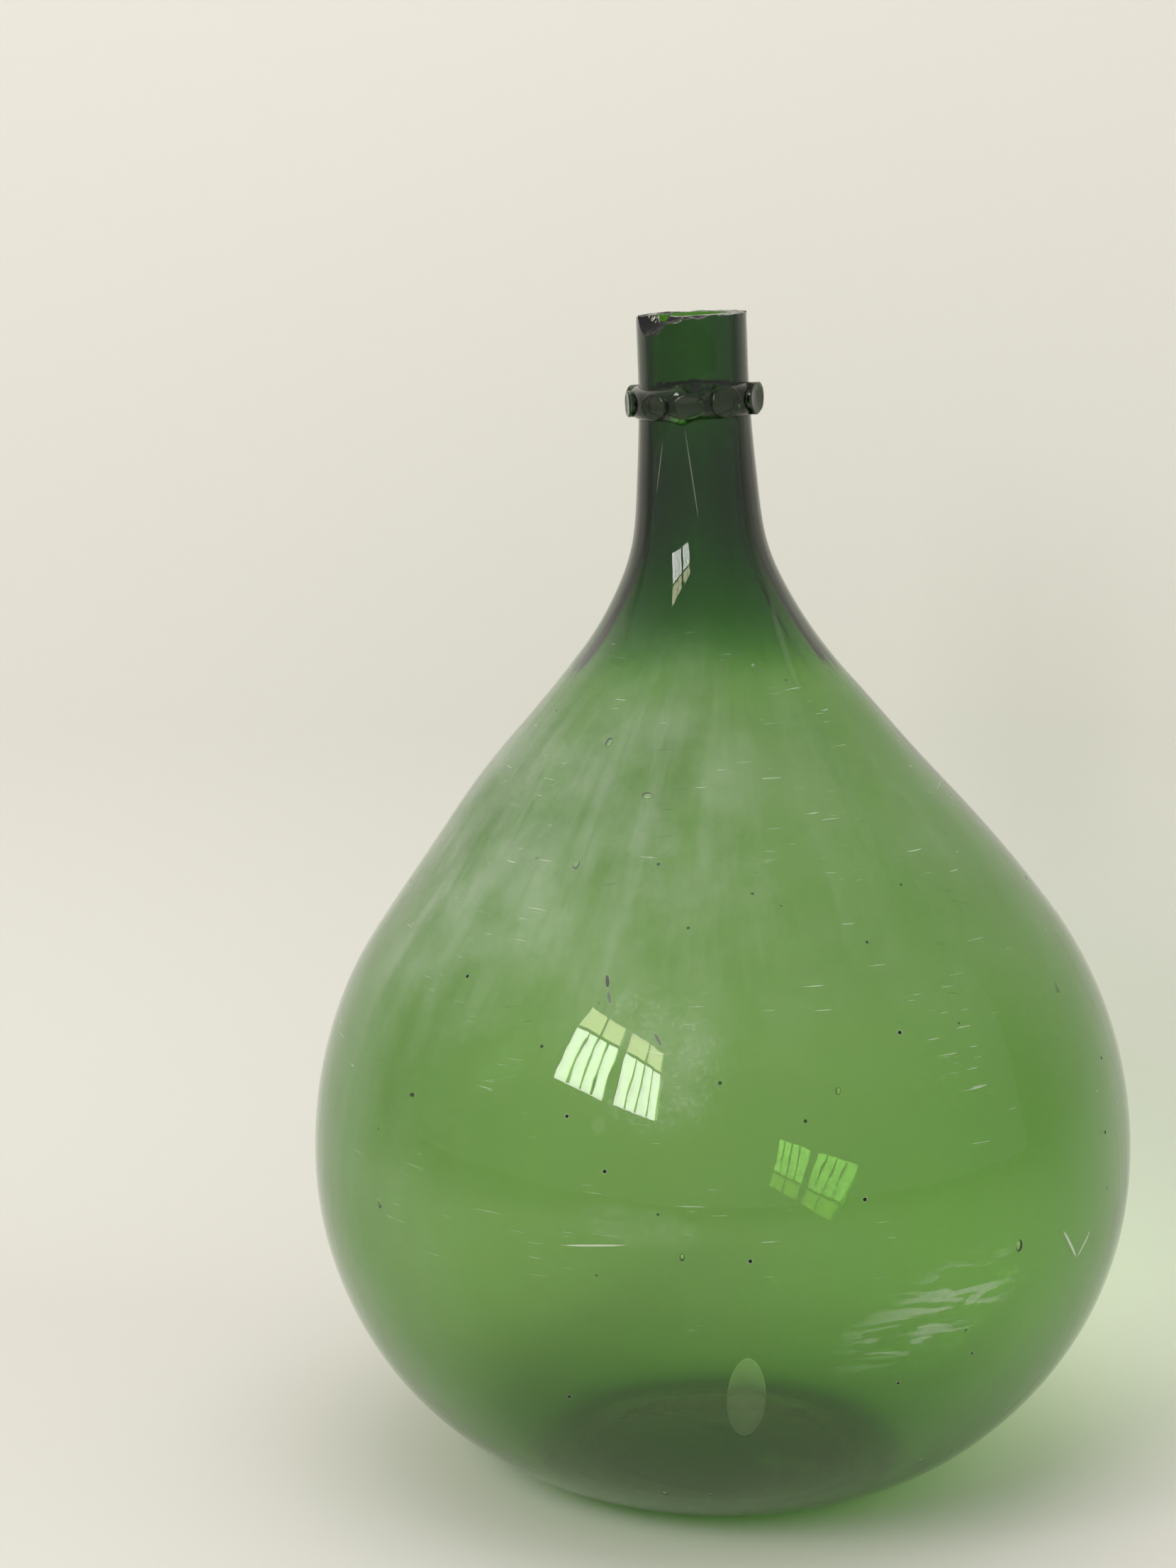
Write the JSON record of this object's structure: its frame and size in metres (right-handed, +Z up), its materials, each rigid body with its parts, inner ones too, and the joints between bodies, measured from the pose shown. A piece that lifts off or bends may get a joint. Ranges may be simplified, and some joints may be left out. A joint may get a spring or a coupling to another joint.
{
  "type": "glass carboy",
  "caption": "Large hand-blown green glass carboy: onion-shaped body, leaning neck with an applied ring of round bosses, and a cracked-off rim.",
  "frame": {"origin": "centre of the foot ring, at its underside", "axes": "+Z up, -X towards the side the neck leans to, -Y towards the side with the overlap of the ring"},
  "size_m": [0.3399, 0.34, 0.4826],
  "materials": {
    "vessel_glass": "green glass, glossy, lightly dusty, with bubbles and scratches",
    "ring_glass": "dark green glass, glossy",
    "boss_glass": "dark green glass, glossy"
  },
  "bodies": {
    "root": {"glass_vessel": "vessel_glass", "neck_ring": "ring_glass", "ring_boss_01": "boss_glass", "ring_boss_02": "boss_glass", "ring_boss_03": "boss_glass", "ring_boss_04": "boss_glass", "ring_boss_05": "boss_glass", "ring_boss_06": "boss_glass", "ring_boss_07": "boss_glass", "ring_boss_08": "boss_glass", "ring_boss_09": "boss_glass", "ring_boss_10": "boss_glass"}
  },
  "joints": []
}
